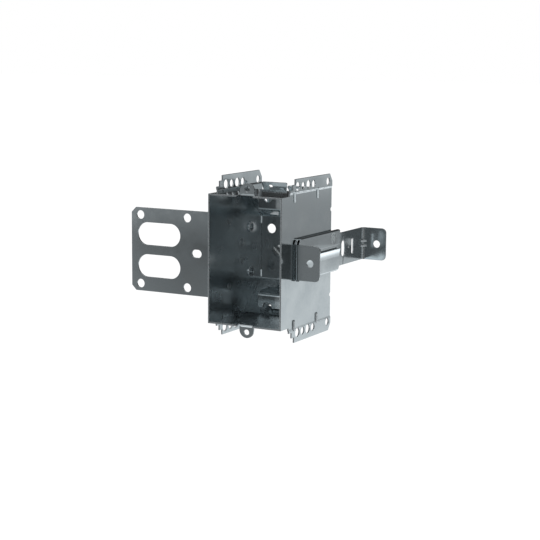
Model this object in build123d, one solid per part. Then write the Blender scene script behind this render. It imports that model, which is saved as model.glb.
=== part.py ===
from build123d import *
import math
import os

# Galvanised device box with a stud bracket and a telescoping far-side support, in millimetres.
# Origin: midway between the two device-ear holes, on the front faces of the ears.
# +X runs across the box towards the support, +Y runs into the wall, +Z is up.
# Depths are measured from the front rim of the box.

# Box shell
box_width = 48.4
box_height = 76.2
box_depth = 63.5
box_sheet = 1.0
box_fold = 1.0
top_wall_depth = 40.0
back_height = 40.0
corner_slit_width = 0.45
corner_slit_height = 4.4
corner_slit_rise = 16.7
back_hole_d = 5.8
back_hole_across = 32.4
back_hole_rise = 23.2

# Device ears
ear_setback = 3.175
ear_hole_spacing = 83.34
ear_hole_d = 3.5
ear_width = 9.5
ear_edge = 3.4
ear_root = 4.5
ear_relief = 0.6

# Cable pryouts in the bevels, measured down the bevel from its upper fold
pryout_pitch = 19.5
pryout_width = 18.4
pryout_neck = 11.0
pryout_free_end = 4.9
pryout_hinge = 24.0
pryout_corner = 1.2
pryout_slit = 0.3
pryout_score = 0.6
left_pryout_lift = 37.0
right_pryout_lift = 26.0
pry_slot_length = 2.6
pry_slot_width = 1.6
pry_slot_edge = 2.8
pry_slot_offset = 2.6

# Side plates with stepped nailing tabs
tab_rise = 9.5
tab_joggle = 0.4
tab_joggle_start = 1.0
tab_joggle_rise = 0.8
tab_joggle_radius = 1.2
gauge_first = 9.525
gauge_step = 3.175
gauge_count = 3
tab_chamfer_run = 3.2
tab_chamfer_drop = 4.4
nail_hole_pitch = 6.6
nail_hole_count = 4
nail_hole_large_d = 5.4
nail_hole_small_d = 4.6
lower_row_first = 20.0
lower_row_edge = 4.7
lower_row_rise = 4.0
upper_row_first = 19.1
upper_row_edge = 5.6
upper_row_rise = 5.1
bead_depths = (15.4, 44.5)
bead_length = 7.0
bead_width = 2.0
bead_height = 0.45
bead_slope = 0.6
bead_rise = -0.6
edge_notch_d = 2.4
edge_notch_rise = 26.0
tapped_hole_d = 4.4
tapped_hole_collar_d = 6.8
tapped_hole_collar = 0.9
tapped_hole_depth = 48.8
tapped_hole_spacing = 27.4

# Stud bracket
bracket_setback = 15.9
bracket_reach = 63.8
bracket_height = 51.2
bracket_middle = -0.4
bracket_sheet = 1.0
bracket_fold = 1.0
bracket_flange = 41.0
bracket_chamfer = 3.1
stud_hole_d = 5.3
stud_hole_edge = 6.4
stud_hole_across = 33.3
stud_hole_margin = 4.5
nail_slot_length = 6.7
nail_slot_width = 4.8
nail_slot_edge = 46.4
window_length = 30.2
window_width = 13.8
window_edge = 19.7
window_rise = 19.6

# Far-side support: sleeve
support_sheet = 0.8
support_fold = 1.5
slide_clearance = 0.2
sleeve_front = 17.2
sleeve_rear = 70.2
sleeve_rear_slant = 1.0
sleeve_bottom = -11.7
sleeve_top = 13.2
sleeve_gap_bottom = 1.9
sleeve_gap_top = 4.2
sleeve_bend = 0.9
lip_flare_radius = 18.0
lip_flare_turn = 16.0
sleeve_front_corner = 4.0
sleeve_rear_corner = 3.0
front_flange_reach = 16.3
front_flange_height = 20.6
front_flange_middle = -0.5
front_flange_hole_d = 4.2
front_flange_hole_reach = 10.1
coin_d = 6.8
coin_dent = 0.25
coin_depth = 61.2
coin_rise = 8.8

# Far-side support: sliding strap
support_length = 90.0
strap_height = 20.2
strap_middle = 0.7
strap_engaged = 24.2
rear_flange_reach = 17.6
rear_flange_hole_d = 4.6
rear_flange_hole_reach = 11.2
flange_corner = 3.0
fold_slot_depth = 76.9
fold_slot_width = 4.8
fold_slot_height = 9.9
grip_slot_depth = 90.1
grip_slot_width = 2.8
grip_slot_height = 9.7
pin_hole_depth = 84.7
pin_hole_d = 1.6
crease_width = 0.8
crease_cut = 0.35
gusset_run = 2.8
gusset_reach = 2.6
gusset_width = 1.4
gusset_pitch = 3.0
gusset_middle = 0.9

# Cable clamps
clamp_sheet = 1.5
clamp_fold = 2.0
clamp_width = 26.8
clamp_front = 40.8
clamp_foot = 33.9
clamp_knee = 25.5
clamp_heel = 17.2
clamp_base_end = 7.6
clamp_screw_edge = 4.2
clamp_shoulder = 8.5
clamp_shoulder_corner = 6.0
clamp_tongue = 11.0
clamp_arch_d = 6.0
clamp_arch_pitch = 14.2
clamp_arch_rise = 0.6

# Screws
clamp_screw_d = 4.0
clamp_screw_head_d = 7.6
clamp_screw_head = 2.4
clamp_screw_tail = 6.0
clamp_screw_clearance = 0.3
ground_screw_d = 4.8
ground_screw_head_d = 7.4
ground_screw_head = 2.4
ground_screw_tail = 2.5
ground_screw_x = -11.0
ground_screw_z = -1.5
ground_screw_turn = 45.0
ground_screw_clearance = 0.1
screw_slot_width = 1.2
screw_slot_depth = 1.1
screw_head_slope = 0.8

# Places worked out from the sizes above
cut_margin = 5.0
turned_over = Rot(0, 180, 0)
rim_y = -ear_setback
back_y = rim_y + box_depth
back_inner_y = back_y - box_sheet
bevel_y = rim_y + top_wall_depth
half_height = box_height / 2
half_width = box_width / 2
inner_half_width = half_width - box_sheet
tab_top = half_height + tab_rise
bevel_drop = half_height - back_height / 2
bevel_run = back_y - bevel_y
bevel_length = math.hypot(bevel_run, bevel_drop)
bracket_y = rim_y + bracket_setback
bracket_end_x = -half_width - bracket_reach
strap_x = half_width + support_sheet + slide_clearance
strap_rear_y = bracket_y + support_length
sleeve_outer_x = strap_x + 2 * support_sheet + slide_clearance
clamp_base_y = back_inner_y - clamp_sheet
clamp_screw_z = clamp_base_end + clamp_screw_edge


def folded_sheet(plane, corners, radius, thickness, side, span):
    """Sheet bent along a line of corners and extruded evenly to both sides of the plane."""
    with BuildSketch(plane) as section:
        with BuildLine():
            FilletPolyline(*corners, radius=radius)
            offset(amount=thickness, side=side)
        make_face()
    return extrude(section.sketch, amount=span / 2, both=True)


def through_y(shape, x, z):
    """Long cutter along Y from a flat shape whose own x and y become X and Z."""
    reach = box_depth + support_length
    return extrude(Plane.XZ * Pos(x, z) * shape, amount=reach, both=True)


def through_x(shape, y, z):
    """Long cutter along X from a flat shape whose own x and y become Y and Z."""
    return extrude(Plane.YZ * Pos(y, z) * shape, amount=box_width + bracket_reach, both=True)


def disc_x(diameter, x_from, x_to, y, z):
    """Round disc with its axis along X, between two X values."""
    height = abs(x_to - x_from)
    return Pos((x_from + x_to) / 2, y, z) * Rot(0, 90, 0) * Cylinder(diameter / 2, height)


def upright_slot(height, width):
    """Obround standing on end."""
    return Rot(0, 0, 90) * SlotOverall(height, width)


# Box body: top wall, bevels, back, bottom wall and ears in one folded strip

def bevel_plane():
    """Plane on the outer face of the upper bevel; its y runs down the bevel from the upper fold."""
    normal = (0, bevel_drop / bevel_length, bevel_run / bevel_length)
    return Plane(origin=(0, bevel_y, half_height), x_dir=(1, 0, 0), z_dir=normal)


def pryout_outline(inset):
    """Flat pryout with a wide free end, narrowing to its neck at the hinge."""
    half_end = pryout_width / 2 - inset
    half_neck = pryout_neck / 2 - inset
    free_end = pryout_free_end + inset
    end_corners = [(-half_end, free_end), (half_end, free_end)]
    neck_corners = [(half_neck, pryout_hinge), (-half_neck, pryout_hinge)]
    flap = make_face(Polyline(*end_corners, *neck_corners, close=True))
    free_corners = flap.vertices().sort_by(Axis.Y)[:2]
    return fillet(free_corners, pryout_corner - inset)


def pry_slot():
    """Flat screwdriver slot near the free end of a pryout."""
    place = Pos(-pry_slot_offset, pryout_free_end + pry_slot_edge)
    return place * SlotOverall(pry_slot_length, pry_slot_width)


def scored_pryout(x):
    """Cutter for a closed pryout: a scored line on three sides and the screwdriver slot."""
    line = pryout_outline(0) - pryout_outline(pryout_slit)
    place = bevel_plane() * Pos(x, 0)
    return extrude(place * line, amount=-pryout_score) + extrude(place * pry_slot(), amount=-2 * box_sheet)


def open_pryout(x):
    """Cutter for the hole that a lifted pryout leaves."""
    return extrude(bevel_plane() * Pos(x, 0) * pryout_outline(0), amount=-2 * box_sheet)


def lifted_pryout(x, lift):
    """Pryout swung out of the bevel about its hinge line, with a round knuckle at the hinge."""
    flat = pryout_outline(pryout_slit) - pry_slot()
    place = bevel_plane() * Pos(x, 0)
    flap = extrude(place * flat, amount=-box_sheet)
    hinge = place * Pos(0, pryout_hinge, -box_sheet / 2)
    knuckle = hinge * Rot(0, 90, 0) * Cylinder(box_sheet / 2, pryout_neck - 2 * pryout_slit)
    hinge_axis = Axis(hinge.position, (1, 0, 0))
    return flap.rotate(hinge_axis, -lift) + knuckle


def device_ear():
    """Upper ear: the strip's front edge turned up, with a round end and a screw hole."""
    inner_z = half_height - box_sheet
    tip_z = ear_hole_spacing / 2 + ear_edge
    corners = [(ear_root, inner_z), (0, inner_z), (0, tip_z)]
    bent = folded_sheet(Plane.YZ, corners, box_fold + box_sheet, box_sheet, Side.RIGHT, ear_width)
    round_r = ear_width / 2
    shank_top = tip_z - round_r
    outline = Pos(0, shank_top / 2) * Rectangle(ear_width, shank_top) + Pos(0, shank_top) * Circle(round_r)
    ear = bent & through_y(outline, 0, 0)
    return ear - through_y(Circle(ear_hole_d / 2), 0, ear_hole_spacing / 2)


def ear_notch():
    """Cutter that clears the upper wall's front edge round the ear."""
    length = ear_root - rim_y
    width = ear_width + 2 * ear_relief
    return Pos(0, rim_y + length / 2, half_height - box_sheet / 2) * Box(width, length, box_sheet)


def make_box_body():
    """Folded strip with ears, pryouts and the holes in the back."""
    corners = [
        (rim_y, half_height),
        (bevel_y, half_height),
        (back_y, back_height / 2),
        (back_y, -back_height / 2),
        (bevel_y, -half_height),
        (rim_y, -half_height),
    ]
    outer_radius = box_fold + box_sheet
    body = folded_sheet(Plane.YZ, corners, outer_radius, box_sheet, Side.RIGHT, 2 * inner_half_width)

    notch = ear_notch()
    ear = device_ear()
    body = body - notch + ear
    body = body - turned_over * notch + turned_over * ear

    pry_x = pryout_pitch / 2
    for x, lift in ((-pry_x, left_pryout_lift), (pry_x, right_pryout_lift)):
        body -= turned_over * scored_pryout(x)
        body = body - open_pryout(x) + lifted_pryout(x, lift)

    slit_shape = Rectangle(2 * corner_slit_width, corner_slit_height)
    for x in (-inner_half_width, inner_half_width):
        for z in (-corner_slit_rise, corner_slit_rise):
            body -= back_cut(slit_shape, x, z)
    for side in (-1, 1):
        body -= back_cut(Circle(back_hole_d / 2), side * back_hole_across / 2, -side * back_hole_rise / 2)
        body -= back_cut(Circle(clamp_screw_d / 2 + clamp_screw_clearance), 0, side * clamp_screw_z)
    body -= back_cut(Circle(ground_screw_d / 2 + ground_screw_clearance), ground_screw_x, ground_screw_z)
    return body


def back_cut(shape, x, z):
    """Cutter through the back only."""
    return extrude(Plane.XZ.offset(-back_y) * Pos(x, z) * shape, amount=box_sheet + cut_margin, both=True)


# Side plates

def side_outline():
    """Outline of a side plate seen along X, with the gauge steps at the front of both tabs."""
    upper = [(rim_y, half_height)]
    step_rise = tab_rise / gauge_count
    for step in range(gauge_count):
        step_y = rim_y + gauge_first + step * gauge_step
        upper.append((step_y, half_height + step * step_rise))
        upper.append((step_y, half_height + (step + 1) * step_rise))
    upper.append((back_y - tab_chamfer_run, tab_top))
    upper.append((back_y, tab_top - tab_chamfer_drop))
    lower = [(y, -z) for y, z in reversed(upper)]
    return make_face(Polyline(*upper, *lower, close=True))


def make_side_plate():
    """Right-hand side plate: a flat wall with tabs joggled outwards above and below."""
    joggle_z = half_height + tab_joggle_start
    tab_x = half_width + tab_joggle
    upper = [(half_width, joggle_z), (tab_x, joggle_z + tab_joggle_rise), (tab_x, tab_top)]
    lower = [(x, -z) for x, z in reversed(upper)]
    middle = Plane.XZ.offset(-(rim_y + back_y) / 2)
    sheet = folded_sheet(middle, lower + upper, tab_joggle_radius, box_sheet, Side.LEFT, box_depth)
    plate = sheet & through_x(side_outline(), 0, 0)

    bead_z = half_height + bead_rise
    outer = tab_joggle + bead_height
    for end in (-1, 1):
        for depth in bead_depths:
            foot = Plane.YZ.offset(half_width) * Pos(rim_y + depth, end * bead_z)
            bead = extrude(foot * Rectangle(bead_width, bead_length), amount=outer)
            plate += chamfer(bead.edges().group_by(Axis.X)[-1], bead_slope)
            back = Plane.YZ.offset(inner_half_width) * Pos(rim_y + depth, end * bead_z)
            groove = Rectangle(bead_width / 2, bead_length - bead_width)
            plate -= extrude(back * groove, amount=tab_joggle, both=True)
        plate -= through_x(Circle(edge_notch_d / 2), back_y, end * edge_notch_rise)
    plate -= nail_row(lower_row_first, lower_row_edge, -half_height - lower_row_rise)
    return plate - nail_row(upper_row_first, upper_row_edge, half_height + upper_row_rise)


def nail_row(first_depth, rear_edge, z):
    """Cutter for the nail holes of one tab: large and small by turns, and one near the rear edge."""
    small = Circle(nail_hole_small_d / 2)
    large = Circle(nail_hole_large_d / 2)
    row = [through_x(small, back_y - rear_edge, z)]
    for index in range(nail_hole_count):
        hole = small if index % 2 else large
        row.append(through_x(hole, rim_y + first_depth + index * nail_hole_pitch, z))
    return Compound(row)


def make_left_side_plate(plate):
    """Left-hand plate: the same plate turned over, with two tapped holes drawn inwards."""
    hole_y = rim_y + tapped_hole_depth
    for side in (-1, 1):
        hole_z = side * tapped_hole_spacing / 2
        collar_x = inner_half_width - tapped_hole_collar
        plate += disc_x(tapped_hole_collar_d, collar_x, inner_half_width, hole_y, hole_z)
        plate -= disc_x(tapped_hole_d, collar_x, half_width, hole_y, hole_z)
    return turned_over * plate


# Stud bracket

def make_stud_bracket():
    """Flat plate set back behind the wallboard, with a return flange on the left side plate."""
    wall_x = -half_width
    corners = [(wall_x, bracket_y + bracket_flange), (wall_x, bracket_y), (bracket_end_x, bracket_y)]
    fold = bracket_fold + bracket_sheet
    level = Plane.XY.offset(bracket_middle)
    bracket = folded_sheet(level, corners, fold, bracket_sheet, Side.RIGHT, bracket_height)
    end_edges = bracket.edges().filter_by(Axis.Y).group_by(Axis.X)[0]
    bracket = chamfer(end_edges, bracket_chamfer)

    stud_hole = Circle(stud_hole_d / 2)
    window = SlotOverall(window_length, window_width)
    for side in (-1, 1):
        hole_z = bracket_middle + side * (bracket_height / 2 - stud_hole_margin)
        bracket -= through_y(stud_hole, bracket_end_x + stud_hole_edge, hole_z)
        bracket -= through_y(stud_hole, bracket_end_x + stud_hole_edge + stud_hole_across, hole_z)
        window_z = bracket_middle + side * window_rise / 2
        bracket -= through_y(window, bracket_end_x + window_edge, window_z)
    nail_slot = SlotOverall(nail_slot_length, nail_slot_width)
    return bracket - through_y(nail_slot, bracket_end_x + nail_slot_edge, bracket_middle)


# Far-side support

def make_support_sleeve():
    """C-shaped guide on the right side plate, with a flared lower lip and a flange turned out at its front end."""
    front_y = rim_y + sleeve_front
    rear_y = rim_y + sleeve_rear
    flare_foot = (sleeve_outer_x, sleeve_gap_bottom - lip_flare_radius * math.sin(math.radians(lip_flare_turn)))
    corners = [
        flare_foot,
        (sleeve_outer_x, sleeve_bottom),
        (half_width, sleeve_bottom),
        (half_width, sleeve_top),
        (sleeve_outer_x, sleeve_top),
        (sleeve_outer_x, sleeve_gap_top),
    ]
    with BuildSketch(Plane.XZ.offset(-(front_y + rear_y) / 2)) as section:
        with BuildLine():
            JernArc(flare_foot, (0, 1), lip_flare_radius, -lip_flare_turn)
            FilletPolyline(*corners, radius=sleeve_bend)
            offset(amount=support_sheet, side=Side.LEFT)
        make_face()
    guide = extrude(section.sketch, amount=(rear_y - front_y) / 2, both=True)
    rear_corners = [(rear_y - sleeve_rear_slant, sleeve_bottom), (rear_y, sleeve_top)]
    front_corners = [(front_y, sleeve_top), (front_y, sleeve_bottom)]
    outline = make_face(Polyline(*rear_corners, *front_corners, close=True))
    outline = fillet(outline.vertices().sort_by(Axis.Y)[2:].sort_by(Axis.X)[:1], sleeve_front_corner)
    outline = fillet(outline.vertices().sort_by(Axis.Y)[:2].sort_by(Axis.X)[1:], sleeve_rear_corner)
    guide = guide & through_x(outline, 0, 0)
    guide -= disc_x(coin_d, sleeve_outer_x - coin_dent, sleeve_outer_x, rim_y + coin_depth, coin_rise)

    end_x = half_width + front_flange_reach
    level = Plane.XY.offset(front_flange_middle)
    root = (half_width, front_y + sleeve_front_corner)
    turn = [root, (half_width, bracket_y), (end_x, bracket_y)]
    fold = support_fold + support_sheet
    flange = folded_sheet(level, turn, fold, support_sheet, Side.LEFT, front_flange_height)
    flange = fillet(flange.edges().filter_by(Axis.Y).group_by(Axis.X)[-1], flange_corner)
    hole = Circle(front_flange_hole_d / 2)
    flange -= through_y(hole, half_width + front_flange_hole_reach, front_flange_middle)
    return guide + flange


def make_support_strap():
    """Strap that slides in the sleeve, with a flange turned out at its rear end."""
    front_y = rim_y + sleeve_rear - strap_engaged
    end_x = half_width + rear_flange_reach
    level = Plane.XY.offset(strap_middle)
    corners = [(strap_x, front_y), (strap_x, strap_rear_y), (end_x, strap_rear_y)]
    fold = support_fold + support_sheet
    strap = folded_sheet(level, corners, fold, support_sheet, Side.RIGHT, strap_height)
    strap = fillet(strap.edges().filter_by(Axis.Y).group_by(Axis.X)[-1], flange_corner)
    hole = Circle(rear_flange_hole_d / 2)
    strap -= through_y(hole, half_width + rear_flange_hole_reach, strap_middle)
    fold_slot = upright_slot(fold_slot_height, fold_slot_width)
    strap -= through_x(fold_slot, rim_y + fold_slot_depth, strap_middle)
    grip_slot = upright_slot(grip_slot_height, grip_slot_width)
    strap -= through_x(grip_slot, rim_y + grip_slot_depth, strap_middle)
    strap -= through_x(Circle(pin_hole_d / 2), rim_y + pin_hole_depth, strap_middle)
    face_x = strap_x + support_sheet
    crease = Box(2 * crease_cut, crease_width, strap_height)
    strap -= Pos(face_x, rim_y + fold_slot_depth, strap_middle) * crease
    flange_y = strap_rear_y - support_sheet
    web = [(face_x, flange_y), (face_x, flange_y - gusset_run), (face_x + gusset_reach, flange_y)]
    for side in (-1, 1):
        gusset = Plane.XY.offset(gusset_middle + side * gusset_pitch / 2)
        strap += extrude(gusset * make_face(Polyline(*web, close=True)), amount=gusset_width / 2, both=True)
    return strap


# Cable clamps and screws

def make_cable_clamp():
    """Upper clamp: base on the back, tongue over the pryouts and an arched front flange."""
    front_y = rim_y + clamp_front
    corners = [
        (front_y, clamp_foot),
        (front_y, clamp_knee),
        (clamp_base_y, clamp_heel),
        (clamp_base_y, clamp_base_end),
    ]
    sheet = folded_sheet(Plane.YZ, corners, clamp_fold, clamp_sheet, Side.LEFT, clamp_width)
    wide = Pos(0, front_y + clamp_shoulder / 2) * Rectangle(clamp_width, clamp_shoulder)
    wide = fillet(wide.vertices().sort_by(Axis.Y)[2:], clamp_shoulder_corner)
    tongue_length = back_inner_y - front_y
    tongue = Pos(0, front_y + tongue_length / 2) * Rectangle(clamp_tongue, tongue_length)
    clamp = sheet & extrude(wide + tongue, amount=box_height, both=True)
    arch = Circle(clamp_arch_d / 2) + Pos(0, clamp_arch_d) * Rectangle(clamp_arch_d, 2 * clamp_arch_d)
    for side in (-1, 1):
        clamp -= front_cut(arch, side * clamp_arch_pitch / 2, clamp_foot - clamp_arch_rise)
    return clamp - through_y(Circle(clamp_screw_d / 2 + clamp_screw_clearance), 0, clamp_screw_z)


def front_cut(shape, x, z):
    """Cutter through the front flange of the clamp only."""
    front_y = rim_y + clamp_front
    return extrude(Plane.XZ.offset(-front_y) * Pos(x, z) * shape, amount=2 * clamp_sheet, both=True)


def make_screw(shank_d, shank_length, head_d, head_height):
    """Slotted pan-head screw along +Y, with the underside of its head at the origin."""
    head = Cylinder(head_d / 2, head_height, align=(Align.CENTER, Align.CENTER, Align.MIN))
    head = chamfer(head.edges().group_by(Axis.Z)[-1], screw_head_slope)
    slot = Pos(0, 0, head_height) * Box(head_d, screw_slot_width, 2 * screw_slot_depth)
    shank = Cylinder(shank_d / 2, shank_length, align=(Align.CENTER, Align.CENTER, Align.MAX))
    return Rot(90, 0, 0) * (head - slot + shank)


def make_clamp_screw():
    """Upper clamp screw, seated on the base of the upper clamp."""
    length = clamp_sheet + box_sheet + clamp_screw_tail
    screw = make_screw(clamp_screw_d, length, clamp_screw_head_d, clamp_screw_head)
    return Pos(0, clamp_base_y, clamp_screw_z) * screw


def make_ground_screw():
    """Ground screw, seated on the inside of the back."""
    length = box_sheet + ground_screw_tail
    screw = make_screw(ground_screw_d, length, ground_screw_head_d, ground_screw_head)
    return Pos(ground_screw_x, back_inner_y, ground_screw_z) * Rot(0, ground_screw_turn, 0) * screw


side_plate = make_side_plate()
cable_clamp = make_cable_clamp()
clamp_screw = make_clamp_screw()

nodes = {
    "box_body": make_box_body(),
    "left_side_plate": make_left_side_plate(side_plate),
    "right_side_plate": side_plate,
    "stud_bracket": make_stud_bracket(),
    "support_sleeve": make_support_sleeve(),
    "support_strap": make_support_strap(),
    "upper_cable_clamp": cable_clamp,
    "lower_cable_clamp": turned_over * cable_clamp,
    "upper_clamp_screw": clamp_screw,
    "lower_clamp_screw": turned_over * clamp_screw,
    "ground_screw": make_ground_screw(),
}

os.makedirs("parts", exist_ok=True)
for name, shape in nodes.items():
    export_step(shape, f"parts/{name}.step")
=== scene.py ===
"""Dresses the switch box with stud bracket: eased edges, threads, weld marks, finishes, studio and camera."""
import logging
import math
from collections.abc import Callable
from dataclasses import dataclass
from enum import Enum

import bmesh
import bpy
from bmesh.types import BMEdge, BMesh, BMFace
from bpy.types import Material, Mesh, MeshPolygon, Node, NodeSocket, NodeTree, Object, World
from mathutils import Matrix, Vector


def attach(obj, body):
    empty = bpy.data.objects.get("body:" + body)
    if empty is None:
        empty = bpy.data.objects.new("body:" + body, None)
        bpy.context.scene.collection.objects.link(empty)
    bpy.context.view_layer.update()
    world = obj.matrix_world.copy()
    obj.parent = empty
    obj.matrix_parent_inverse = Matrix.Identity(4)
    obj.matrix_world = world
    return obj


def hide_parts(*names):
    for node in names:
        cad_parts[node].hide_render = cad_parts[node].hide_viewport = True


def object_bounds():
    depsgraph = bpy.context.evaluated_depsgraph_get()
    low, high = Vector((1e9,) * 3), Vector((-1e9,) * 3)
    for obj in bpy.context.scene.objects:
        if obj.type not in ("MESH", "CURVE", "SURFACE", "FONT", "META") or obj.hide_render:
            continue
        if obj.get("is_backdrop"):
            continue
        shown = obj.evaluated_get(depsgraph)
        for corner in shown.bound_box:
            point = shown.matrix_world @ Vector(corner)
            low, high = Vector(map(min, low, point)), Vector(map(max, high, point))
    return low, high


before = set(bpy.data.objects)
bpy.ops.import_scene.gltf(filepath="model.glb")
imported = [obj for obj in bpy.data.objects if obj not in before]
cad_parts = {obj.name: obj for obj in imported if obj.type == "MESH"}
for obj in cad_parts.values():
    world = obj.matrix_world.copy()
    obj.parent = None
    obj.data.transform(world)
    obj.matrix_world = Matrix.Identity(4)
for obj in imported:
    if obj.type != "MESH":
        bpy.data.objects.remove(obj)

LOG = logging.getLogger("switch_box")
MM = 0.001

# How finely the small round shapes are divided
COIL_STEPS = 28
RIDGE_SIDES = 4
DOME_RINGS = 12
RIM_SIDES = 8

# The places of an eased piece's first two materials
FACE_FINISH, EDGE_FINISH = 0, 1

# A mix node's colour sockets go by number, because its sockets of other kinds have the same names
MIX_SHARE, MIX_FIRST, MIX_SECOND, MIX_RESULT = 0, 6, 7, 2

Span = tuple[float, float]
Point = tuple[float, float, float]
Colour = tuple[float, float, float, float]


class Body(Enum):
    """The bodies that a piece can ride on."""

    BOX = "box"
    STRAP = "strap"
    UPPER_CLAMP = "upper_clamp"
    LOWER_CLAMP = "lower_clamp"


class Slot(Enum):
    """The record's material slots."""

    SHEET = "galvanised_sheet"
    SCREW = "plated_screw"


class Axis(Enum):
    """The direction that a thread or a mark is turned to, as a rotation of the Z axis."""

    ALONG_X = (0.0, math.pi / 2, 0.0)
    ALONG_Y = (-math.pi / 2, 0.0, 0.0)


class Lean(Enum):
    """The axis that a sheet leans along, as the name of its coordinate."""

    ACROSS = "X"
    UP = "Z"


def linear(code: str) -> Colour:
    """Turns an sRGB hex colour to linear RGBA.

    Args:
        code: the colour as "#rrggbb".

    Returns:
        The linear red, green and blue, with an alpha of 1.
    """
    shares = [int(code[start:start + 2], 16) / 255 for start in (1, 3, 5)]
    red, green, blue = [
        share / 12.92 if share <= 0.04045 else ((share + 0.055) / 1.055) ** 2.4 for share in shares
    ]
    return red, green, blue, 1.0


def add_node(
    tree: NodeTree, kind: str, inputs: dict[str | int, object] | None = None, **settings: object,
) -> Node:
    """Adds a node with its settings, its values and its links.

    Args:
        tree: the node tree to add to.
        kind: the node's type name.
        inputs: for each input's name or number, a value, or the socket that is linked to it.
        settings: the node's own properties.

    Returns:
        The new node.
    """
    node = tree.nodes.new(kind)
    for name, value in settings.items():
        setattr(node, name, value)
    for key, value in (inputs or {}).items():
        if isinstance(value, NodeSocket):
            tree.links.new(value, node.inputs[key])
        else:
            node.inputs[key].default_value = value
    return node


def set_ramp(node: Node, stops: list[tuple[float, Colour]]) -> None:
    """Gives a colour ramp its stops.

    Args:
        node: the colour ramp node.
        stops: the place and colour of each stop, in order.
    """
    elements = node.color_ramp.elements
    while len(elements) < len(stops):
        elements.new(1.0)
    for element, (place, colour) in zip(elements, stops):
        element.position = place
        element.color = colour


def per_metre(size_mm: float) -> float:
    """The texture scale whose features are this many millimetres across."""
    return 1.0 / (size_mm * MM)


def noise(tree: NodeTree, place: NodeSocket, size_mm: float, detail: float) -> NodeSocket:
    """Adds a noise whose patches are this many millimetres across."""
    inputs = {"Vector": place, "Scale": per_metre(size_mm), "Detail": detail}
    return add_node(tree, "ShaderNodeTexNoise", inputs).outputs["Fac"]


def cells(tree: NodeTree, place: NodeSocket, size_mm: float) -> Node:
    """Adds a pattern of cells that are this many millimetres across."""
    return add_node(tree, "ShaderNodeTexVoronoi", {"Vector": place, "Scale": per_metre(size_mm)})


def scaled_sum(tree: NodeTree, value: NodeSocket, factor: float, addend: NodeSocket | float) -> NodeSocket:
    """Multiplies a value by a factor and adds another value to it."""
    inputs = {0: value, 1: factor, 2: addend}
    return add_node(tree, "ShaderNodeMath", inputs, operation="MULTIPLY_ADD").outputs["Value"]


def stretched(tree: NodeTree, value: NodeSocket, span: Span, top: float = 1.0) -> NodeSocket:
    """Stretches one span of a value to run from 0 to a top value.

    Args:
        tree: the node tree.
        value: the value to stretch.
        span: what becomes 0 and what becomes the top value.
        top: the top value.

    Returns:
        The stretched value.
    """
    low, high = span
    inputs = {"Value": value, "From Min": low, "From Max": high, "To Max": top}
    return add_node(tree, "ShaderNodeMapRange", inputs).outputs["Result"]


def mixed_colour(
    tree: NodeTree, share: NodeSocket, first: NodeSocket | Colour, second: NodeSocket | Colour,
) -> NodeSocket:
    """Mixes two colours, by the share that the second one has."""
    inputs = {MIX_SHARE: share, MIX_FIRST: first, MIX_SECOND: second}
    return add_node(tree, "ShaderNodeMix", inputs, data_type="RGBA").outputs[MIX_RESULT]


def new_material(name: str) -> tuple[Material, NodeTree, NodeSocket]:
    """Starts a material with an empty tree.

    Args:
        name: the material's name.

    Returns:
        The material, its tree and its Object coordinates.
    """
    material = bpy.data.materials.new(name)
    material.use_nodes = True
    tree = material.node_tree
    tree.nodes.clear()
    place = add_node(tree, "ShaderNodeTexCoord").outputs["Object"]
    return material, tree, place


def dress_metal(
    tree: NodeTree, share: NodeSocket, tones: tuple[str, str], roughness: Span,
    normal: NodeSocket | None = None,
) -> None:
    """Ends a metal's tree: its colour and its roughness follow the same pattern.

    Args:
        tree: the material's tree.
        share: the pattern, from 0 to 1.
        tones: the sRGB hex colours at 0 and at 1.
        roughness: the roughness at 0 and at 1.
        normal: the normal of the worked surface, where it has one.
    """
    smooth, rough = roughness
    spread = add_node(tree, "ShaderNodeMapRange", {"Value": share, "To Min": smooth, "To Max": rough})
    bright, dull = (linear(tone) for tone in tones)
    inputs = {
        "Base Color": mixed_colour(tree, share, bright, dull), "Metallic": 1.0,
        "Roughness": spread.outputs["Result"],
    }
    if normal is not None:
        inputs["Normal"] = normal
    shader = add_node(tree, "ShaderNodeBsdfPrincipled", inputs)
    add_node(tree, "ShaderNodeOutputMaterial", {"Surface": shader.outputs["BSDF"]})


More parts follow.
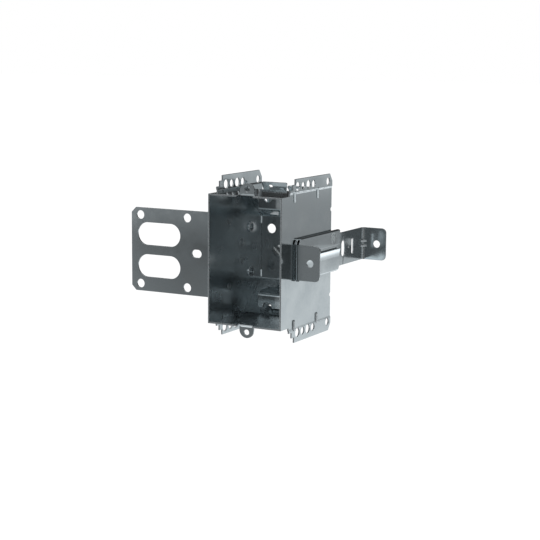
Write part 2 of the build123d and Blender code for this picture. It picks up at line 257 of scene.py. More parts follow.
@dataclass(frozen=True)
class GalvanisedSheet:
    """Hot-dip zinc on rolled steel sheet, as it leaves the press."""

    name: str = "galvanised_zinc_sheet"
    bright: str = "#cdd3d5"
    dull: str = "#c0c7ca"
    polished: float = 0.07
    hazed: float = 0.13
    haze_mm: float = 14.0
    haze_detail: float = 4.0
    haze_span: Span = (0.35, 0.65)
    haze_share: float = 0.8
    spangle_mm: float = 1.6
    spangle_share: float = 0.2
    spangle_height_mm: float = 0.0012
    spangle_strength: float = 0.35
    roll_line_mm: float = 0.5
    roll_line_length_mm: float = 24.0
    roll_line_detail: float = 2.0
    roll_line_share: float = 0.6
    wave_mm: float = 26.0
    wave_detail: float = 1.0
    wave_height_mm: float = 0.03
    lean_deg: float = 0.0
    lean_axis: Lean = Lean.ACROSS

    def build(self) -> Material:
        """Builds the zinc: a near mirror with slow waves, hazy patches, spangles and faint rolling lines.

        Returns:
            The material.
        """
        material, tree, place = new_material(self.name)
        haze = noise(tree, place, self.haze_mm, self.haze_detail)
        spangle = cells(tree, place, self.spangle_mm).outputs["Color"]
        grain = add_node(tree, "ShaderNodeSeparateColor", {"Color": spangle}).outputs
        patch = stretched(tree, haze, self.haze_span, self.haze_share)
        share = scaled_sum(tree, grain["Red"], self.spangle_share, patch)
        height = scaled_sum(tree, self.roll_lines(tree, place), self.roll_line_share, grain["Green"])
        bump = add_node(tree, "ShaderNodeBump", {
            "Height": height, "Strength": self.spangle_strength, "Distance": self.spangle_height_mm * MM,
            "Normal": self.bowed(tree, place),
        })
        roughness = (self.polished, self.hazed)
        dress_metal(tree, share, (self.bright, self.dull), roughness, bump.outputs["Normal"])
        return material

    def roll_lines(self, tree: NodeTree, place: NodeSocket) -> NodeSocket:
        """Draws the faint lines that rolling leaves along the sheet.

        Args:
            tree: the material's tree.
            place: the Object coordinates.

        Returns:
            The height of the lines.
        """
        across = per_metre(self.roll_line_mm)
        stretch = (across, per_metre(self.roll_line_length_mm), across)
        along = add_node(tree, "ShaderNodeMapping", {"Vector": place, "Scale": stretch}).outputs["Vector"]
        inputs = {"Vector": along, "Scale": 1.0, "Detail": self.roll_line_detail}
        return add_node(tree, "ShaderNodeTexNoise", inputs).outputs["Fac"]

    def bowed(self, tree: NodeTree, place: NodeSocket) -> NodeSocket:
        """Bows the sheet in slow waves, and lets it lean along one axis where a bend has left it so.

        Args:
            tree: the material's tree.
            place: the Object coordinates.

        Returns:
            The bowed normal.
        """
        wave = noise(tree, place, self.wave_mm, self.wave_detail)
        depth = self.wave_height_mm * MM
        bow = add_node(tree, "ShaderNodeBump", {"Height": wave, "Strength": 1.0, "Distance": depth})
        if self.lean_deg == 0.0:
            return bow.outputs["Normal"]
        along = add_node(tree, "ShaderNodeSeparateXYZ", {"Vector": place}).outputs[self.lean_axis.value]
        slope = math.tan(math.radians(self.lean_deg))
        lean = add_node(tree, "ShaderNodeBump", {
            "Height": along, "Strength": 1.0, "Distance": slope, "Normal": bow.outputs["Normal"],
        }, invert=True)
        return lean.outputs["Normal"]


@dataclass(frozen=True)
class WorkedSheet(GalvanisedSheet):
    """Zinc at a bend: hazier than on the flat sheet, and leaning as the bend has left it."""

    polished: float = 0.16
    hazed: float = 0.24
    lean_axis: Lean = Lean.UP


@dataclass(frozen=True)
class ShearedEdge:
    """Edge of the sheet, rounded over and dulled by the press tool."""

    name: str = "sheared_steel_edge"
    bright: str = "#c2c6c8"
    worn: str = "#9a9ea0"
    burnish_mm: float = 1.4
    burnish_detail: float = 3.0
    burnish_span: Span = (0.35, 0.7)
    smooth: float = 0.22
    torn: float = 0.36

    def build(self) -> Material:
        """Builds the edge: duller than the face, with short burnished and torn stretches.

        Returns:
            The material.
        """
        material, tree, place = new_material(self.name)
        burnish = noise(tree, place, self.burnish_mm, self.burnish_detail)
        share = stretched(tree, burnish, self.burnish_span)
        dress_metal(tree, share, (self.bright, self.worn), (self.smooth, self.torn))
        return material


@dataclass(frozen=True)
class PlatedScrew:
    """Zinc-plated steel of a rolled and headed screw."""

    name: str = "zinc_plated_screw_steel"
    bright: str = "#cfd1d1"
    dull: str = "#a6a9aa"
    mottle_mm: float = 1.1
    mottle_detail: float = 5.0
    smooth: float = 0.12
    rough: float = 0.22

    def build(self) -> Material:
        """Builds the plating: a little warmer and duller than the sheet, with a fine mottle.

        Returns:
            The material.
        """
        material, tree, place = new_material(self.name)
        mottle = noise(tree, place, self.mottle_mm, self.mottle_detail)
        dress_metal(tree, mottle, (self.bright, self.dull), (self.smooth, self.rough))
        return material


@dataclass(frozen=True)
class WeldScale:
    """Burnt zinc round a resistance spot weld."""

    name: str = "burnt_zinc_weld_scale"
    tint: str = "#c3c8ca"
    soot: str = "#9fa3a5"
    fleck_mm: float = 0.6
    fleck_detail: float = 4.0
    fleck_span: Span = (0.4, 0.65)
    smooth: float = 0.35
    rough: float = 0.6

    def build(self) -> Material:
        """Builds the scale: dull grey with dark flecks where the zinc boiled off.

        Returns:
            The material.
        """
        material, tree, place = new_material(self.name)
        fleck = noise(tree, place, self.fleck_mm, self.fleck_detail)
        share = stretched(tree, fleck, self.fleck_span)
        dress_metal(tree, share, (self.tint, self.soot), (self.smooth, self.rough))
        return material


@dataclass(frozen=True)
class StampedZinc:
    """Zinc crushed by a stamp."""

    name: str = "stamped_frosted_zinc"
    bright: str = "#dfe3e4"
    dull: str = "#8f9698"
    crumb_mm: float = 0.9
    smooth: float = 0.3
    rough: float = 0.5

    def build(self) -> Material:
        """Builds the stamped field: frosted, and mottled where the zinc has crumbled.

        Returns:
            The material.
        """
        material, tree, place = new_material(self.name)
        crumb = cells(tree, place, self.crumb_mm).outputs["Distance"]
        dress_metal(tree, crumb, (self.bright, self.dull), (self.smooth, self.rough))
        return material


@dataclass(frozen=True)
class PaleFloor:
    """White paper sweep, lit from behind so that it holds hardly any shadow."""

    name: str = "white_backlit_paper"
    tone: str = "#fbfbfb"
    shade: str = "#f6f6f7"
    tooth_mm: float = 3.0
    tooth_detail: float = 2.0
    glow: float = 0.94
    strength: float = 1.15
    matt: float = 0.95

    def build(self) -> Material:
        """Builds the paper: its glow leaves only a trace of shadow, with a trace of tooth.

        Returns:
            The material.
        """
        material, tree, place = new_material(self.name)
        tooth = noise(tree, place, self.tooth_mm, self.tooth_detail)
        tone = mixed_colour(tree, tooth, linear(self.tone), linear(self.shade))
        paper = add_node(tree, "ShaderNodeBsdfDiffuse", {"Color": tone, "Roughness": self.matt})
        light = add_node(tree, "ShaderNodeEmission", {"Color": tone, "Strength": self.strength})
        sheet = add_node(tree, "ShaderNodeMixShader", {
            0: self.glow, 1: paper.outputs["BSDF"], 2: light.outputs["Emission"],
        })
        add_node(tree, "ShaderNodeOutputMaterial", {"Surface": sheet.outputs["Shader"]})
        return material


@dataclass(frozen=True)
class Finishes:
    """The built materials that the pieces share."""

    sheet: Material
    satin: Material
    sprung: Material
    drawn: Material
    pried: Material
    eased: Material
    rubbed: Material
    edge: Material
    screw: Material
    weld: Material
    stamp: Material

    @classmethod
    def build(cls) -> "Finishes":
        """Builds each material once.

        Returns:
            The materials.
        """
        satin = GalvanisedSheet("galvanised_satin_zinc", "#c5cbcd", "#b8bfc2", polished=0.19, hazed=0.28)
        return cls(
            sheet=GalvanisedSheet().build(),
            satin=satin.build(),
            sprung=WorkedSheet("galvanised_sprung_flange", lean_deg=8.0, lean_axis=Lean.ACROSS).build(),
            drawn=GalvanisedSheet("galvanised_drawn_strap", polished=0.12, hazed=0.2).build(),
            pried=GalvanisedSheet("galvanised_pried_flap", lean_deg=9.0, lean_axis=Lean.UP).build(),
            eased=WorkedSheet("galvanised_lower_step", lean_deg=-20.0).build(),
            rubbed=WorkedSheet("galvanised_rubbed_bead", lean_deg=-5.0).build(),
            edge=ShearedEdge().build(),
            screw=PlatedScrew().build(),
            weld=WeldScale().build(),
            stamp=StampedZinc().build(),
        )


def baked(piece: Object) -> Object:
    """Turns what an object's modifiers make into its plain mesh.

    Args:
        piece: the object, linked to the scene.

    Returns:
        The same object, without modifiers.
    """
    shown = piece.evaluated_get(bpy.context.evaluated_depsgraph_get())
    mesh = bpy.data.meshes.new_from_object(shown)
    piece.modifiers.clear()
    piece.data = mesh
    return piece


def new_object(name: str, mesh: Mesh) -> Object:
    """Links a mesh to the scene as an object at the origin.

    Args:
        name: the object's name.
        mesh: its mesh.

    Returns:
        The object.
    """
    piece = bpy.data.objects.new(name, mesh)
    bpy.context.scene.collection.objects.link(piece)
    return piece


def refinish(piece: Object, finish: Material, chosen: Callable[[MeshPolygon], bool]) -> None:
    """Gives some faces of a piece another finish.

    Args:
        piece: the piece.
        finish: the material.
        chosen: tells whether a face gets it.
    """
    piece.data.materials.append(finish)
    for part in piece.data.polygons:
        if chosen(part):
            part.material_index = len(piece.data.materials) - 1


@dataclass
class EasedPiece:
    """A pressed or turned piece whose sharp edges are rounded over, as shearing and plating leave them."""

    node: str
    body: Body
    slot: Slot = Slot.SHEET
    ease_mm: float = 0.16
    sharp_deg: float = 38.0
    steps: int = 2
    round_profile: float = 0.5
    merge_mm: float = 0.001
    flat_deg: float = 0.3
    widest_cut_mm: float = 1.3
    tries: int = 10
    spare_mm: float = 0.4
    smallest_fold_mm2: float = 0.002
    fold_match: float = 0.3

    def build(self, face: Material, edge: Material) -> Object:
        """Builds the eased copy of the node and puts it in the node's place.

        Args:
            face: the finish of the faces.
            edge: the finish of the rounded edges.

        Returns:
            The piece, which rides on its body.
        """
        shape = self.unfolded()
        mesh = bpy.data.meshes.new(f"eased_{self.node}")
        shape.to_mesh(mesh)
        shape.free()
        mesh.materials.append(face)
        mesh.materials.append(edge)
        piece = new_object(f"eased_{self.node}", mesh)
        normals = piece.modifiers.new("flat_face_normals", "WEIGHTED_NORMAL")
        normals.keep_sharp = True
        baked(piece)
        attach(piece, self.body.value)
        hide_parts(self.node)
        return piece

    def unfolded(self) -> BMesh:
        """Rounds the node over, and again with more edges spared while a face comes out folded.

        Returns:
            The rounded shape.
        """
        spared: list[Vector] = []
        shape = self.rounded(spared)
        for _ in range(self.tries - 1):
            folds = self.folds(shape)
            if not folds:
                break
            spared += folds
            shape.free()
            shape = self.rounded(spared)
        return shape

    def rounded(self, spared: list[Vector]) -> BMesh:
        """Rounds over the sharp edges of the node, apart from those too close to others to leave room for it.

        Args:
            spared: the spots whose edges stay sharp.

        Returns:
            The rounded shape.
        """
        shape = bmesh.new()
        shape.from_mesh(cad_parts[self.node].data)
        bmesh.ops.remove_doubles(shape, verts=shape.verts, dist=self.merge_mm * MM)
        bmesh.ops.dissolve_limit(
            shape, angle_limit=math.radians(self.flat_deg), use_dissolve_boundaries=False,
            verts=shape.verts, edges=shape.edges,
        )
        corners = [line for line in shape.edges if self.is_sharp(line) and line.is_convex]
        known = set(corners)
        for part in shape.faces:
            part.material_index = EDGE_FINISH if self.is_cut(part, known) else FACE_FINISH
            part.smooth = True
        bmesh.ops.bevel(
            shape, geom=[line for line in corners if not any(self.is_near(line, spot) for spot in spared)],
            offset=self.ease_mm * MM, offset_type="OFFSET", segments=self.steps, profile=self.round_profile,
            affect="EDGES", clamp_overlap=False, material=EDGE_FINISH, loop_slide=True,
        )
        for line in shape.edges:
            line.smooth = not self.is_sharp(line)
        return shape

    def folds(self, shape: BMesh) -> list[Vector]:
        """Finds the spots where rounding has folded a face over itself.

        Args:
            shape: the rounded shape.

        Returns:
            The corners of the folded triangles.
        """
        shape.normal_update()
        least = 2.0 * self.smallest_fold_mm2 * MM * MM
        spots = []
        for loops in shape.calc_loop_triangles():
            corners = [loop.vert.co.copy() for loop in loops]
            turn = (corners[1] - corners[0]).cross(corners[2] - corners[0])
            if turn.length > least and turn.normalized().dot(loops[0].face.normal) < self.fold_match:
                spots += corners
        return spots

    def is_sharp(self, line: BMEdge) -> bool:
        """Tells whether two faces meet sharply at an edge."""
        return line.is_manifold and line.calc_face_angle() > math.radians(self.sharp_deg)

    def is_near(self, line: BMEdge, spot: Vector) -> bool:
        """Tells whether an edge passes a spot closely.

        Args:
            line: the edge.
            spot: the spot.

        Returns:
            Whether it does.
        """
        start, end = (corner.co for corner in line.verts)
        span = end - start
        share = min(1.0, max(0.0, (spot - start).dot(span) / span.length_squared))
        return (start + share * span - spot).length < self.spare_mm * MM

    def is_cut(self, part: BMFace, corners: set[BMEdge]) -> bool:
        """Tells whether a face is a sheared edge: a strip between two sharp corners, as wide as the sheet.

        Args:
            part: the face.
            corners: the sharp corners of the piece.

        Returns:
            Whether the face is a cut one.
        """
        rim = sum(line.calc_length() for line in part.edges if line in corners)
        return rim > 0.0 and 2.0 * part.calc_area() / rim < self.widest_cut_mm * MM


def points_mesh(name: str, centres_mm: list[Point]) -> Mesh:
    """Makes a mesh of loose points.

    Args:
        name: the mesh's name.
        centres_mm: the points, in millimetres.

    Returns:
        The mesh.
    """
    mesh = bpy.data.meshes.new(name)
    mesh.from_pydata([[length * MM for length in centre] for centre in centres_mm], [], [])
    return mesh


def grown(name: str, tree: NodeTree, mesh: Mesh, sizes: dict[str, object]) -> Object:
    """Runs a geometry tree on a mesh and keeps the result as a plain mesh.

    Args:
        name: the object's name.
        tree: the geometry tree.
        mesh: what the tree works from.
        sizes: a value for each of the tree's named inputs.

    Returns:
        The object, without its modifier.
    """
    piece = new_object(name, mesh)
    maker = piece.modifiers.new(name, "NODES")
    maker.node_group = tree
    for item in tree.interface.items_tree:
        if item.item_type == "SOCKET" and item.in_out == "INPUT" and item.name in sizes:
            maker[item.identifier] = sizes[item.name]
    return baked(piece)


def start_tree(name: str, inputs: list[tuple[str, str]]) -> tuple[NodeTree, Node]:
    """Starts a geometry tree with named inputs.

    Args:
        name: the tree's name.
        inputs: the name and socket type of each input after the geometry.

    Returns:
        The tree and its input node.
    """
    tree = bpy.data.node_groups.new(name, "GeometryNodeTree")
    tree.interface.new_socket("Geometry", in_out="OUTPUT", socket_type="NodeSocketGeometry")
    tree.interface.new_socket("Geometry", in_out="INPUT", socket_type="NodeSocketGeometry")
    for label, kind in inputs:
        tree.interface.new_socket(label, in_out="INPUT", socket_type=kind)
    return tree, add_node(tree, "NodeGroupInput")


def end_tree(tree: NodeTree, shape: NodeSocket, given: Node) -> None:
    """Ends a geometry tree: a turned copy of the shape at each point, smooth, as real geometry and finished.

    Args:
        tree: the geometry tree.
        shape: the shape.
        given: the tree's input node.
    """
    size = given.outputs
    turned = add_node(tree, "GeometryNodeTransform", {"Geometry": shape, "Rotation": size["Direction"]})
    spread = add_node(tree, "GeometryNodeInstanceOnPoints", {
        "Points": size["Geometry"], "Instance": turned.outputs["Geometry"],
    })
    smooth = add_node(tree, "GeometryNodeSetShadeSmooth", {"Geometry": spread.outputs["Instances"]})
    real = add_node(tree, "GeometryNodeRealizeInstances", {"Geometry": smooth.outputs["Geometry"]})
    dressed = add_node(tree, "GeometryNodeSetMaterial", {
        "Geometry": real.outputs["Geometry"], "Material": size["Finish"],
    })
    add_node(tree, "NodeGroupOutput", {"Geometry": dressed.outputs["Geometry"]})


def thread_tree() -> NodeTree:
    """Builds the tree that winds a thread ridge at each point, along one axis.

    Returns:
        The geometry tree.
    """
    tree, given = start_tree("thread_ridge", [
        ("Radius", "NodeSocketFloat"), ("Ridge", "NodeSocketFloat"), ("Pitch", "NodeSocketFloat"),
        ("Turns", "NodeSocketFloat"), ("Direction", "NodeSocketRotation"), ("Finish", "NodeSocketMaterial"),
    ])
    size = given.outputs
    rise = add_node(tree, "ShaderNodeMath", {0: size["Pitch"], 1: size["Turns"]}, operation="MULTIPLY")
    coil = add_node(tree, "GeometryNodeCurveSpiral", {
        "Resolution": COIL_STEPS, "Rotations": size["Turns"], "Height": rise.outputs["Value"],
        "Start Radius": size["Radius"], "End Radius": size["Radius"],
    })
    section = add_node(tree, "GeometryNodeCurvePrimitiveCircle", {
        "Resolution": RIDGE_SIDES, "Radius": size["Ridge"],
    })
    ridge = add_node(tree, "GeometryNodeCurveToMesh", {
        "Curve": coil.outputs["Curve"], "Profile Curve": section.outputs["Curve"], "Fill Caps": True,
    })
    end_tree(tree, ridge.outputs["Mesh"], given)
    return tree


def spot_tree() -> NodeTree:
    """Builds the tree that sets a low dome with a raised rim at each point, facing along one axis.

    Returns:
        The geometry tree.
    """
    tree, given = start_tree("pressed_spot", [
        ("Radius", "NodeSocketFloat"), ("Height", "NodeSocketFloat"), ("Ridge", "NodeSocketFloat"),
        ("Direction", "NodeSocketRotation"), ("Finish", "NodeSocketMaterial"),
    ])
    size = given.outputs
    ball = add_node(tree, "GeometryNodeMeshUVSphere", {
        "Segments": COIL_STEPS, "Rings": DOME_RINGS, "Radius": 1.0,
    })
    flat = add_node(tree, "ShaderNodeCombineXYZ", {
        "X": size["Radius"], "Y": size["Radius"], "Z": size["Height"],
    })
    dome = add_node(tree, "GeometryNodeTransform", {
        "Geometry": ball.outputs["Mesh"], "Scale": flat.outputs["Vector"],
    })
    loop = add_node(tree, "GeometryNodeCurvePrimitiveCircle", {
        "Resolution": COIL_STEPS, "Radius": size["Radius"],
    })
    section = add_node(tree, "GeometryNodeCurvePrimitiveCircle", {
        "Resolution": RIM_SIDES, "Radius": size["Ridge"],
    })
    rim = add_node(tree, "GeometryNodeCurveToMesh", {
        "Curve": loop.outputs["Curve"], "Profile Curve": section.outputs["Curve"],
    })
    spot = add_node(tree, "GeometryNodeJoinGeometry")
    for part in (dome.outputs["Geometry"], rim.outputs["Mesh"]):
        tree.links.new(part, spot.inputs["Geometry"])
    end_tree(tree, spot.outputs["Geometry"], given)
    return tree


@dataclass
class Thread:
    """A thread ridge wound on a shank or in a hole."""

    name: str
    starts_mm: list[Point]
    radius_mm: float
    length_mm: float
    body: Body
    slot: Slot
    axis: Axis = Axis.ALONG_Y
    pitch_mm: float = 0.8
    ridge_mm: float = 0.14

    def build(self, finish: Material) -> Object:
        """Winds the ridges from their starting points along the axis.

        Args:
            finish: the material.

        Returns:
            The ridges as one piece, which rides on its body.
        """
        ridges = grown(self.name, thread_tree(), points_mesh(self.name, self.starts_mm), {
            "Radius": self.radius_mm * MM, "Ridge": self.ridge_mm * MM, "Pitch": self.pitch_mm * MM,
            "Turns": self.length_mm / self.pitch_mm, "Direction": self.axis.value, "Finish": finish,
        })
        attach(ridges, self.body.value)
        return ridges


@dataclass
class PressedSpots:
    """Low round marks of spot welding or stamping on a flat sheet that faces along X."""

    name: str
    centres_mm: list[Point]
    radius_mm: float
    height_mm: float = 0.05
    ridge_mm: float = 0.06

    def build(self, finish: Material) -> Object:
        """Presses the marks into the box's sheet.

        Args:
            finish: the material.

        Returns:
            The marks as one piece, which rides on the box.
        """
        marks = grown(self.name, spot_tree(), points_mesh(self.name, self.centres_mm), {
            "Radius": self.radius_mm * MM, "Height": self.height_mm * MM, "Ridge": self.ridge_mm * MM,
            "Direction": Axis.ALONG_X.value, "Finish": finish,
        })
        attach(marks, Body.BOX.value)
        return marks


@dataclass(frozen=True)
class Surroundings:
    """What bright metal mirrors on each side: heights over the horizon in degrees, each with a brightness."""

    back_right: tuple[Span, ...] = (
        (-60, 0.5), (-27, 0.55), (-22, 1.75), (-17, 1.75), (-13, 0.92), (-11, 0.79), (-8.6, 0.79),
        (-8.0, 0.18), (-7.6, 0.22), (-7.2, 0.38), (-6.0, 0.32), (-5.4, 0.5), (-5.1, 0.58), (-4.4, 0.58),
        (2, 0.22), (9, 0.18), (14, 0.06), (45, 0.06), (60, 0.3),
    )
    left: tuple[Span, ...] = (
        (-60, 0.4), (-20, 0.5), (-12, 1.4), (-6, 1.4), (-1, 0.5), (3, 0.06), (8, 0.015), (20, 0.03),
        (45, 0.2), (60, 0.3),
    )
    front_left: tuple[Span, ...] = (
        (-60, 0.75), (-20, 0.5), (-12, 0.22), (-9.6, 0.18), (-8.7, 0.16), (-7.6, 0.09), (-7.1, 0.08),
        (-6.7, 0.34), (-6.2, 0.4), (-5.6, 0.2), (5, 0.22), (12, 0.45), (17, 0.45), (19, 1.6), (24, 1.6),
        (26, 0.45), (35, 0.45), (50, 0.2), (60, 0.3),
    )
    front_right: tuple[Span, ...] = (
        (-60, 0.75), (-20, 0.3), (-12, 0.03), (4, 0.04), (7, 0.35), (12, 0.4), (17, 0.4), (19, 1.6),
        (24, 1.6), (26, 0.4), (35, 0.4), (50, 0.15), (60, 0.3),
    )
    tint: Point = (0.96, 1.0, 1.02)
    backdrop: str = "#ffffff"
    sides: Span = (-0.3, 0.1)
    front_sides: Span = (0.43, 0.475)
    front_lean: float = -0.3
    front: Span = (-0.68, -0.25)

    def build(self) -> World:
        """Builds the world: white to the eye, and in the metal a dim room over a bright table.

        Returns:
            The world.
        """
        world = bpy.data.worlds.new("studio_surroundings")
        world.use_nodes = True
        tree = world.node_tree
        tree.nodes.clear()
        way = add_node(tree, "ShaderNodeTexCoord").outputs["Generated"]
        axes = add_node(tree, "ShaderNodeSeparateXYZ", {"Vector": way}).outputs
        height = scaled_sum(tree, axes["Z"], 0.5, 0.5)
        tones = (self.left, self.back_right, self.front_left, self.front_right)
        left, back_right, front_left, front_right = (self.ramp(tree, height, side) for side in tones)
        around = self.blend(tree, axes["X"], self.sides, left, back_right)
        ahead = self.blend(tree, axes["X"], self.front_sides, front_left, front_right)
        leftward = add_node(tree, "ShaderNodeMath", {0: axes["X"], 1: 0.0}, operation="MINIMUM")
        forward = scaled_sum(tree, leftward.outputs["Value"], self.front_lean, axes["Y"])
        seen = self.blend(tree, forward, self.front, ahead, around)
        eye = add_node(tree, "ShaderNodeLightPath").outputs["Is Camera Ray"]
        shown = mixed_colour(tree, eye, seen, linear(self.backdrop))
        glow = add_node(tree, "ShaderNodeBackground", {"Color": shown, "Strength": 1.0})
        add_node(tree, "ShaderNodeOutputWorld", {"Surface": glow.outputs["Background"]})
        return world

    def ramp(self, tree: NodeTree, height: NodeSocket, tones: tuple[Span, ...]) -> NodeSocket:
        """Sets the tones of one side in a colour ramp that runs from straight down to straight up.

        Args:
            tree: the world's tree.
            height: the height of the looked-at direction, from 0 to 1.
            tones: the side's heights and tones.

        Returns:
            The colour of that side.
        """
        node = add_node(tree, "ShaderNodeValToRGB", {"Fac": height})
        places = [0.5 + 0.5 * math.sin(math.radians(rise)) for rise, _ in tones]
        colours = [(*(part * tone for part in self.tint), 1.0) for _, tone in tones]
        set_ramp(node, list(zip(places, colours)))
        return node.outputs["Color"]

    def blend(
        self, tree: NodeTree, along: NodeSocket, span: Span, low: NodeSocket, high: NodeSocket,
    ) -> NodeSocket:
        """Blends two sides into each other, from where the span starts to where it ends."""
        return mixed_colour(tree, stretched(tree, along, span), low, high)


@dataclass
class Studio:
    """White sweep, a broad overhead light and the surroundings."""

    floor_gap_mm: float = 0.2
    floor_half_m: float = 6.0
    sky_from: Point = (-0.35, -0.1, 0.9)
    sky_strength: float = 1.2
    sky_spread_deg: float = 110.0

    def build(self) -> None:
        """Builds the floor, the light and the world."""
        half = self.floor_half_m
        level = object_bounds()[0][2] - self.floor_gap_mm * MM
        mesh = bpy.data.meshes.new("studio_floor")
        corners = [(-half, -half, level), (half, -half, level), (half, half, level), (-half, half, level)]
        mesh.from_pydata(corners, [], [(0, 1, 2, 3)])
        mesh.materials.append(PaleFloor().build())
        floor = new_object("studio_floor", mesh)
        floor.visible_glossy = False
        floor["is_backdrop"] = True
        self.light()
        bpy.context.scene.world = Surroundings().build()

    def light(self) -> None:
        """Hangs the broad overhead light."""
        lamp = bpy.data.lights.new("overhead_light", "SUN")
        lamp.energy = self.sky_strength
        lamp.angle = math.radians(self.sky_spread_deg)
        holder = bpy.data.objects.new("overhead_light", lamp)
        holder.rotation_euler = Vector(self.sky_from).to_track_quat("Z", "Y").to_euler()
        bpy.context.scene.collection.objects.link(holder)


@dataclass
class PhotoCamera:
    """The camera at the photograph's viewing angle."""

    place_mm: Point = (402.36, -712.68, 121.73)
    azimuth_deg: float = 28.511
    elevation_deg: float = 8.801
    roll_deg: float = 0.479
    lens_mm: float = 95.876
    film_mm: float = 36.0
    nearest_m: float = 0.01

    def build(self) -> Object:
        """Sets the camera up and makes it the scene's own.

        Returns:
            The camera.
        """
        degrees = (self.azimuth_deg, self.elevation_deg, self.roll_deg)
        around, above, roll = (math.radians(angle) for angle in degrees)
        flat = math.cos(above)
        back = Vector((math.sin(around) * flat, -math.cos(around) * flat, math.sin(above)))
        level = Vector((math.cos(around), math.sin(around), 0.0))
        upright = back.cross(level)
        right = math.cos(roll) * level + math.sin(roll) * upright
        upward = back.cross(right)
        lens = bpy.data.cameras.new("photo_camera")
        lens.lens = self.lens_mm
        lens.sensor_width = self.film_mm
        lens.clip_start = self.nearest_m
        holder = bpy.data.objects.new("photo_camera", lens)
        turn = Matrix((right, upward, back)).transposed().to_4x4()
        holder.matrix_world = Matrix.Translation(Vector(self.place_mm) * MM) @ turn
        bpy.context.scene.collection.objects.link(holder)
        bpy.context.scene.camera = holder
        return holder


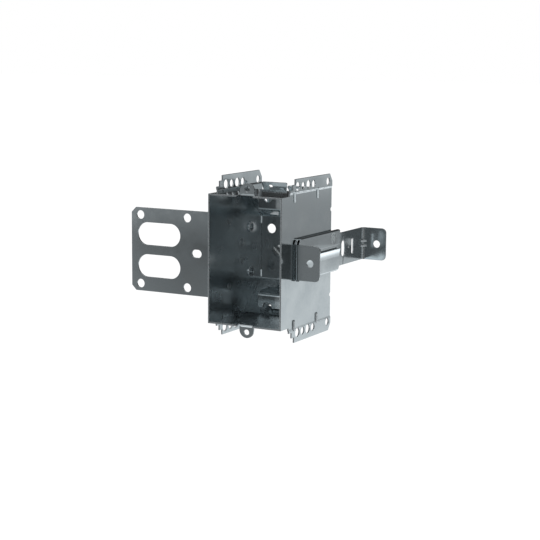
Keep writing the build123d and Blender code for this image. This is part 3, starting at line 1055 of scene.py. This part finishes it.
@dataclass
class BoxShell:
    """The folded strip and its two side plates."""

    sheet_mm: float = 1.0
    half_width_mm: float = 24.2
    half_height_mm: float = 38.1
    middle_y_mm: float = 25.0
    rim_y_mm: float = -3.175
    ear_hole_r_mm: float = 1.75
    ear_spacing_mm: float = 83.34
    tapped_hole_r_mm: float = 2.2
    tapped_hole_depth_mm: float = 48.8
    tapped_hole_spacing_mm: float = 27.4
    tapped_collar_mm: float = 0.9
    thread_inset_mm: float = 0.15
    weld_radius_mm: float = 1.9
    outer_weld_depth_mm: float = 22.5
    outer_weld_rise_mm: float = 19.7
    inner_weld_depth_mm: float = 38.0
    inner_weld_rise_mm: float = 5.6
    flap_facing: Point = (0.0, -0.965, -0.264)
    flap_match: float = 0.98
    flap_depth_mm: float = 40.0
    least_step: float = 0.2
    least_slope: float = 0.3
    bead_start_mm: float = 8.0
    bead_reach_mm: Span = (-5.0, 3.0)

    def build(self, finishes: Finishes) -> list[Object]:
        """Builds the shell's eased pieces, the threads of its tapped holes and its weld marks.

        Args:
            finishes: the materials.

        Returns:
            The pieces.
        """
        nodes = ("box_body", "left_side_plate", "right_side_plate")
        strip, *plates = [EasedPiece(node, Body.BOX).build(finishes.sheet, finishes.edge) for node in nodes]
        for piece in (strip, *plates):
            refinish(piece, finishes.satin, self.looks_inward)
        refinish(strip, finishes.pried, self.is_left_flap)
        for plate in plates:
            refinish(plate, finishes.edge, self.is_upper_step)
            refinish(plate, finishes.eased, self.is_lower_step)
            refinish(plate, finishes.rubbed, self.is_upper_bead)
        details = [self.ear_threads(finishes), self.plate_threads(finishes), self.weld_marks(finishes)]
        return [strip, *plates, *details]

    def looks_inward(self, part: MeshPolygon) -> bool:
        """Tells whether a plain face looks into the box, where the press leaves a duller finish.

        Args:
            part: the face.

        Returns:
            Whether it does.
        """
        middle = Vector((0.0, self.middle_y_mm, 0.0)) * MM
        inward = part.normal.dot(part.center - middle) < 0.0
        plain = part.material_index == FACE_FINISH
        return inward and plain and abs(part.center.z) < self.half_height_mm * MM

    def is_left_flap(self, part: MeshPolygon) -> bool:
        """Tells whether a face is the inner one of the left upper flap, which curled as it was pried up."""
        facing = part.normal.dot(Vector(self.flap_facing)) > self.flap_match
        return facing and part.center.x < 0.0 and part.center.y > self.flap_depth_mm * MM

    def is_step(self, part: MeshPolygon) -> bool:
        """Tells whether a face is the outer slope of the step at a tab's foot."""
        outward = part.normal.x * part.center.x > 0.0 and abs(part.center.z) > self.half_height_mm * MM
        return outward and abs(part.normal.z) > self.least_step and part.normal.z * part.center.z < 0.0

    def is_upper_step(self, part: MeshPolygon) -> bool:
        """Tells whether a face is the outer slope of an upper step."""
        return part.center.z > 0.0 and self.is_step(part)

    def is_lower_step(self, part: MeshPolygon) -> bool:
        """Tells whether a face is the outer slope of a lower step."""
        return part.center.z < 0.0 and self.is_step(part)

    def is_upper_bead(self, part: MeshPolygon) -> bool:
        """Tells whether a face is the front slope of a bead at an upper tab's foot.

        Args:
            part: the face.

        Returns:
            Whether it is.
        """
        outward = part.normal.x if part.center.x > 0.0 else -part.normal.x
        sloped = outward > self.least_slope and part.normal.y < -self.least_slope
        low, high = self.bead_reach_mm
        risen = low * MM < part.center.z - self.half_height_mm * MM < high * MM
        return sloped and risen and part.center.y > self.bead_start_mm * MM

    def ear_threads(self, finishes: Finishes) -> Object:
        """Winds the thread in each device-ear hole.

        Args:
            finishes: the materials.

        Returns:
            The thread ridges.
        """
        starts = [(0.0, self.thread_inset_mm, side * self.ear_spacing_mm / 2) for side in (-1, 1)]
        length = self.sheet_mm - 2 * self.thread_inset_mm
        thread = Thread("device_ear_threads", starts, self.ear_hole_r_mm, length, Body.BOX, Slot.SHEET)
        return thread.build(finishes.edge)

    def plate_threads(self, finishes: Finishes) -> Object:
        """Winds the thread in each tapped hole of the left plate.

        Args:
            finishes: the materials.

        Returns:
            The thread ridges.
        """
        hole_y = self.rim_y_mm + self.tapped_hole_depth_mm
        start_x = self.thread_inset_mm - self.half_width_mm
        starts = [(start_x, hole_y, side * self.tapped_hole_spacing_mm / 2) for side in (-1, 1)]
        length = self.sheet_mm + self.tapped_collar_mm - 2 * self.thread_inset_mm
        thread = Thread(
            "tapped_hole_threads", starts, self.tapped_hole_r_mm, length, Body.BOX, Slot.SHEET, Axis.ALONG_X,
        )
        return thread.build(finishes.edge)

    def weld_marks(self, finishes: Finishes) -> Object:
        """Marks the spot welds of the bracket on the inner face of the left plate.

        Args:
            finishes: the materials.

        Returns:
            The weld marks.
        """
        face_x = self.sheet_mm - self.half_width_mm
        outer = (self.outer_weld_depth_mm, self.outer_weld_rise_mm)
        inner = (self.inner_weld_depth_mm, self.inner_weld_rise_mm)
        centres = [
            (face_x, self.rim_y_mm + depth, side * rise) for depth, rise in (outer, inner) for side in (-1, 1)
        ]
        return PressedSpots("bracket_weld_marks", centres, self.weld_radius_mm).build(finishes.weld)


@dataclass
class StudBracket:
    """The slotted plate that is nailed to the stud."""

    node: str = "stud_bracket"

    def build(self, finishes: Finishes) -> list[Object]:
        """Builds the eased bracket."""
        return [EasedPiece(self.node, Body.BOX).build(finishes.sheet, finishes.edge)]


@dataclass
class FarSideSupport:
    """The sleeve on the right plate and the strap that slides in it."""

    lip_x_mm: float = 27.0
    coin_dent_mm: float = 0.25
    coin_y_mm: float = 58.025
    coin_z_mm: float = 8.8
    coin_radius_mm: float = 3.4
    coin_ring_mm: float = 1.9
    flange_root_x_mm: float = 26.5
    flange_facing: float = -0.9
    rear_bend_y_mm: float = 99.0
    least_turn: float = 0.2

    def build(self, finishes: Finishes) -> list[Object]:
        """Builds the sleeve with its stamped mark, and the strap.

        Args:
            finishes: the materials.

        Returns:
            The pieces.
        """
        sleeve = EasedPiece("support_sleeve", Body.BOX).build(finishes.sheet, finishes.edge)
        refinish(sleeve, finishes.stamp, self.is_stamped_floor)
        refinish(sleeve, finishes.sprung, self.is_flange_front)
        ring = PressedSpots("stamped_ring", [self.coin_centre()], self.coin_ring_mm).build(finishes.stamp)
        strap = EasedPiece("support_strap", Body.STRAP).build(finishes.drawn, finishes.edge)
        refinish(strap, finishes.edge, self.is_rear_bend)
        return [sleeve, ring, strap]

    def coin_centre(self) -> Point:
        """The middle of the stamped mark's sunk floor, in millimetres."""
        return self.lip_x_mm - self.coin_dent_mm, self.coin_y_mm, self.coin_z_mm

    def is_stamped_floor(self, part: MeshPolygon) -> bool:
        """Tells whether a face is the sunk floor of the stamped mark, which the stamp has crushed."""
        away = part.center - Vector(self.coin_centre()) * MM
        return abs(away.x) < self.coin_dent_mm * MM / 2 and away.length < self.coin_radius_mm * MM

    def is_flange_front(self, part: MeshPolygon) -> bool:
        """Tells whether a plain face is the front of the flange, which has sprung back a little."""
        facing = part.material_index == FACE_FINISH and part.normal.y < self.flange_facing
        return facing and part.center.x > self.flange_root_x_mm * MM

    def is_rear_bend(self, part: MeshPolygon) -> bool:
        """Tells whether a face is in the bend of the strap's flange, where the zinc is crazed."""
        turned = part.normal.x > self.least_turn and part.normal.y < -self.least_turn
        return turned and part.center.y > self.rear_bend_y_mm * MM


@dataclass
class CableClamp:
    """A cable clamp with the screw that draws it in."""

    clamp: str
    screw: str
    body: Body
    side: int
    screw_r_mm: float = 1.98
    screw_rise_mm: float = 11.8
    head_seat_y_mm: float = 57.825
    grip_mm: float = 2.6
    tail_mm: float = 5.6
    ridge_mm: float = 0.2

    def build(self, finishes: Finishes) -> list[Object]:
        """Builds the eased clamp and screw, and the thread on the screw's tail.

        Args:
            finishes: the materials.

        Returns:
            The pieces.
        """
        clamp = EasedPiece(self.clamp, self.body).build(finishes.sheet, finishes.edge)
        screw = EasedPiece(self.screw, self.body, Slot.SCREW).build(finishes.screw, finishes.screw)
        start = (0.0, self.head_seat_y_mm + self.grip_mm, self.side * self.screw_rise_mm)
        thread = Thread(
            f"{self.screw}_thread", [start], self.screw_r_mm, self.tail_mm, self.body, Slot.SCREW,
            ridge_mm=self.ridge_mm,
        )
        return [clamp, screw, thread.build(finishes.screw)]


@dataclass
class GroundScrew:
    """The slotted ground screw in the back."""

    node: str = "ground_screw"
    screw_r_mm: float = 2.36
    place_mm: Point = (-11.0, 60.6, -1.5)
    tail_mm: float = 2.0

    def build(self, finishes: Finishes) -> list[Object]:
        """Builds the eased screw and the thread on its tail.

        Args:
            finishes: the materials.

        Returns:
            The pieces.
        """
        screw = EasedPiece(self.node, Body.BOX, Slot.SCREW).build(finishes.screw, finishes.screw)
        thread = Thread(
            f"{self.node}_thread", [self.place_mm], self.screw_r_mm, self.tail_mm, Body.BOX, Slot.SCREW,
        )
        return [screw, thread.build(finishes.screw)]


def main() -> None:
    """Builds the scene's pieces in order and reports each one."""
    logging.basicConfig(level=logging.INFO, format="%(name)s: %(message)s")
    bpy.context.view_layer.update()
    bpy.context.scene.view_settings.view_transform = "Standard"
    finishes = Finishes.build()
    assemblies = [
        BoxShell(),
        StudBracket(),
        FarSideSupport(),
        CableClamp("upper_cable_clamp", "upper_clamp_screw", Body.UPPER_CLAMP, 1),
        CableClamp("lower_cable_clamp", "lower_clamp_screw", Body.LOWER_CLAMP, -1),
        GroundScrew(),
    ]
    for assembly in assemblies:
        for piece in assembly.build(finishes):
            LOG.info("%s: %s, %d faces", type(assembly).__name__, piece.name, len(piece.data.polygons))
    Studio().build()
    PhotoCamera().build()


if __name__ == "__main__":
    main()
